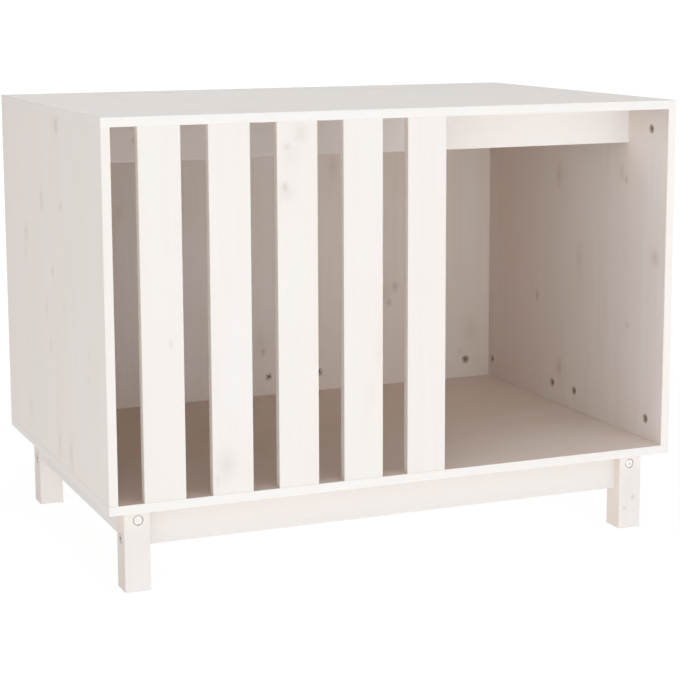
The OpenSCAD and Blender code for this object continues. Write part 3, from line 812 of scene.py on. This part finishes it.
# The groups of cam locks and nuts, with the face of each that looks out of the wood
ZINC_FACES = {
    "left_side_cams": (X, 1),
    "right_side_cams": (X, -1),
    "back_cams": (Y, -1),
    "rail_cams": (Y, 1),
    "front_skirt_cams": (Y, 1),
    "rear_skirt_cams": (Y, -1),
    "left_skirt_cams": (X, 1),
    "right_skirt_cams": (X, -1),
    "front_barrel_nuts": (Y, 1),
    "rear_barrel_nuts": (Y, -1),
    "left_barrel_nuts": (X, 1),
    "right_barrel_nuts": (X, -1),
}
BRIGHT_FITTINGS = ("_cam_bolts", "_screws", "front_leg_bolts", "rear_leg_bolts")
# Bolts that get the darker copy of the steel, as painted shade
SHADE_PAINTED_FITTINGS = ("left_leg_bolts", "right_leg_bolts")


# Operators

def finish_boards(context, boards):
    for board in boards:
        seed = ALL_BOARDS.index(board) * SEED_STEP + FIRST_SEED
        wear(board.node, pine(board, seed, context.scene.dog_house_wash))
    return {"FINISHED"}


def finish_fittings(endings, material):
    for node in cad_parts:
        if node.endswith(endings):
            wear(node, material)
    return {"FINISHED"}


class DOGHOUSE_OT_panels(bpy.types.Operator):
    """Finish the top panel and the floor panel"""
    bl_idname = "dog_house.panels"
    bl_label = "Top and floor"

    def execute(self, context):
        return finish_boards(context, TOP_AND_FLOOR)


class DOGHOUSE_OT_sides(bpy.types.Operator):
    """Finish the four boards of the two sides"""
    bl_idname = "dog_house.sides"
    bl_label = "Sides"

    def execute(self, context):
        return finish_boards(context, SIDES)


class DOGHOUSE_OT_back(bpy.types.Operator):
    """Finish the two boards of the back"""
    bl_idname = "dog_house.back"
    bl_label = "Back"

    def execute(self, context):
        return finish_boards(context, BACK)


class DOGHOUSE_OT_slats(bpy.types.Operator):
    """Finish the five front slats"""
    bl_idname = "dog_house.slats"
    bl_label = "Slats"

    def execute(self, context):
        return finish_boards(context, SLATS)


class DOGHOUSE_OT_rail(bpy.types.Operator):
    """Finish the header rail under the top"""
    bl_idname = "dog_house.rail"
    bl_label = "Header rail"

    def execute(self, context):
        return finish_boards(context, RAIL)


class DOGHOUSE_OT_legs(bpy.types.Operator):
    """Finish the four legs"""
    bl_idname = "dog_house.legs"
    bl_label = "Legs"

    def execute(self, context):
        return finish_boards(context, LEGS)


class DOGHOUSE_OT_skirts(bpy.types.Operator):
    """Finish the four skirts between the legs"""
    bl_idname = "dog_house.skirts"
    bl_label = "Skirts"

    def execute(self, context):
        return finish_boards(context, SKIRTS)


class DOGHOUSE_OT_zinc(bpy.types.Operator):
    """Finish the cam locks and the barrel nuts"""
    bl_idname = "dog_house.zinc"
    bl_label = "Cam locks and nuts"

    def execute(self, context):
        for node, facing in ZINC_FACES.items():
            wear(node, cast_zinc(context.scene.dog_house_fittings, node, facing))
        return {"FINISHED"}


class DOGHOUSE_OT_steel(bpy.types.Operator):
    """Finish the leg bolts, cam bolts and screws"""
    bl_idname = "dog_house.steel"
    bl_label = "Bolts and screws"

    def execute(self, context):
        fittings = context.scene.dog_house_fittings
        bright = plated_steel("bright_steel", tuple(fittings.steel), fittings)
        # A darker copy of the same steel, as painted shade on the side-face bolts
        shade_painted = plated_steel("shade_painted_steel", tuple(fittings.shade_painted_steel), fittings)
        finish_fittings(BRIGHT_FITTINGS, bright)
        return finish_fittings(SHADE_PAINTED_FITTINGS, shade_painted)


class DOGHOUSE_OT_dowels(bpy.types.Operator):
    """Finish the dowels"""
    bl_idname = "dog_house.dowels"
    bl_label = "Dowels"

    def execute(self, context):
        return finish_fittings(("_dowels",), raw_beech(context.scene.dog_house_fittings))


# Studio

FLOOR_SIZE = 200.0
FLOOR_ROUGHNESS = 0.9
SENSOR_WIDTH = 36.0

# Lamps, with each one's place, its size in metres and its power as a share of the front lamp's
Lamp = namedtuple("Lamp", "name place size share")
LAMPS = (
    Lamp("front_low", (0, -3.8, 0.5), (4.0, 0.9), 1.0),
    Lamp("front_high", (0, -3.6, 1.6), (4.0, 1.6), 0.53),
    Lamp("front_steep", (0, -2.0, 3.2), (3.0, 1.2), 0.23),
    Lamp("left_corner", (-2.8, -2.8, 1.2), (2.4, 2.0), 0.53),
    Lamp("right_corner", (2.8, -2.8, 1.2), (2.4, 2.0), 0.39),
    Lamp("left_low", (-3.5, -1.8, 1.0), (1.6, 1.6), 0.13),
    Lamp("left", (-3.8, 0, 1.2), (2.4, 2.0), 0.35),
    Lamp("right", (3.8, 0, 1.2), (2.4, 2.0), 0.39),
    Lamp("rear", (0, 3.8, 1.2), (2.4, 2.0), 0.42),
    Lamp("top", (0, 0, 3.8), (3.0, 3.0), 2.22),
)

# The height of the spot in the middle of the house that the lamps face
MIDDLE = 0.35

# How far from the house the floor keeps its shadow, how much of what shows near and far is plain white,
# and how bright the white of the floor and of the surround is
NEAR, FAR = 0.9, 2.5
SHARE_NEAR, SHARE_FAR = 0.86, 1.0
FLOOR_WHITE = 1.08
SURROUND_WHITE = 1.0


def add_object(context, name, data):
    """Puts a new object into the scene."""
    thing = bpy.data.objects.new(name, data)
    context.scene.collection.objects.link(thing)
    return thing


def add_lamp(context, lamp, front_power):
    """A large white lamp that faces the middle of the house."""
    light = bpy.data.lights.new(lamp.name, "AREA")
    light.shape = "RECTANGLE"
    light.size, light.size_y = lamp.size
    light.energy = lamp.share * front_power
    holder = add_object(context, lamp.name, light)
    holder.location = lamp.place
    aim = Vector((0, 0, MIDDLE)) - Vector(lamp.place)
    holder.rotation_euler = aim.to_track_quat("-Z", "Y").to_euler()


def add_camera(context, studio):
    """The camera of the photo."""
    view = bpy.data.cameras.new("camera")
    view.lens = studio.lens
    view.sensor_width = SENSOR_WIDTH
    view.shift_y = studio.rise
    camera = add_object(context, "camera", view)
    camera.location = studio.place
    aim = Euler((math.pi / 2 - studio.tilt, 0, -studio.turn)).to_quaternion()
    camera.rotation_euler = (aim @ Quaternion((0, 0, 1), studio.roll)).to_euler()
    context.scene.camera = camera


def seen_directly(graph):
    """One for rays that show the background itself, and nothing for rays that carry light."""
    rays = ("Is Camera Ray", "Is Glossy Ray", "Is Transmission Ray")
    camera, glossy, through = graph.node("ShaderNodeLightPath", output=rays)
    return camera.most(glossy).most(through)


def pale_floor(studio):
    """Matt and pale to the light, and white to the eye except for the shadow of the house; it also glows
    faintly, as painted light that lights the house from below.
    """
    material, graph = new_material("studio_floor")
    place = graph.place()
    normal = graph.bump(graph.noise(place, scale=300.0), depth=0.0002, strength=0.1)
    matt = graph.surface((*studio.floor, 1), FLOOR_ROUGHNESS, normal, {"Specular IOR Level": 0.0})
    # Painted light: a glow of the floor that lights the house from below
    glow = graph.white_light("ShaderNodeEmission", studio.floor_glow)
    lighting = graph.node("ShaderNodeAddShader", None, {0: matt, 1: glow})
    distance = graph.vector("LENGTH", place, output="Value")
    share = graph.fade(distance, NEAR, FAR, SHARE_NEAR, SHARE_FAR)
    looking = graph.mix_shader(share, matt, graph.white_light("ShaderNodeEmission", FLOOR_WHITE))
    graph.finish(graph.mix_shader(seen_directly(graph), lighting, looking))
    return material


def white_surround(studio):
    """A world that lights the house softly from all around and looks white."""
    world = bpy.data.worlds.new("studio_surround")
    graph = Graph(world)
    soft = graph.white_light("ShaderNodeBackground", studio.sky)
    white = graph.white_light("ShaderNodeBackground", SURROUND_WHITE)
    graph.finish(graph.mix_shader(seen_directly(graph), soft, white), "ShaderNodeOutputWorld")
    return world


class DOGHOUSE_OT_stage(bpy.types.Operator):
    """Set up the pale floor, the soft lamps and the camera"""
    bl_idname = "dog_house.stage"
    bl_label = "Studio"

    def execute(self, context):
        studio = context.scene.dog_house_studio
        mesh = bpy.data.meshes.new("studio_floor")
        half = FLOOR_SIZE / 2
        corners = [(-half, -half, 0), (half, -half, 0), (half, half, 0), (-half, half, 0)]
        mesh.from_pydata(corners, [], [(0, 1, 2, 3)])
        mesh.materials.append(pale_floor(studio))
        floor = add_object(context, "studio_floor", mesh)
        context.scene.world = white_surround(studio)
        for lamp in LAMPS:
            add_lamp(context, lamp, studio.power)
        add_camera(context, studio)
        context.scene.view_settings.view_transform = "Standard"
        return {"FINISHED"}


# Sidebar

STEPS = (
    DOGHOUSE_OT_panels,
    DOGHOUSE_OT_sides,
    DOGHOUSE_OT_back,
    DOGHOUSE_OT_slats,
    DOGHOUSE_OT_rail,
    DOGHOUSE_OT_legs,
    DOGHOUSE_OT_skirts,
    DOGHOUSE_OT_zinc,
    DOGHOUSE_OT_steel,
    DOGHOUSE_OT_dowels,
    DOGHOUSE_OT_stage,
)
SETTINGS = {
    "dog_house_wash": WashSettings,
    "dog_house_fittings": FittingSettings,
    "dog_house_studio": StudioSettings,
}


class DOGHOUSE_PT_sidebar(bpy.types.Panel):
    """The steps that finish the dog house, and their settings"""
    bl_idname = "DOGHOUSE_PT_sidebar"
    bl_label = "Dog house"
    bl_space_type = "VIEW_3D"
    bl_region_type = "UI"
    bl_category = "Dog House"

    def draw(self, context):
        for step in STEPS:
            self.layout.operator(step.bl_idname)
        for group, kind in SETTINGS.items():
            box = self.layout.box()
            for name in kind.__annotations__:
                box.prop(getattr(context.scene, group), name)


def register():
    for kind in (*SETTINGS.values(), *STEPS, DOGHOUSE_PT_sidebar):
        bpy.utils.register_class(kind)
    for name, kind in SETTINGS.items():
        setattr(bpy.types.Scene, name, bpy.props.PointerProperty(type=kind))


def unregister():
    for name in SETTINGS:
        delattr(bpy.types.Scene, name)
    for kind in reversed((*SETTINGS.values(), *STEPS, DOGHOUSE_PT_sidebar)):
        bpy.utils.unregister_class(kind)


def main():
    register()
    for step in STEPS:
        group, name = step.bl_idname.split(".")
        getattr(getattr(bpy.ops, group), name)()


if __name__ == "__main__":
    main()
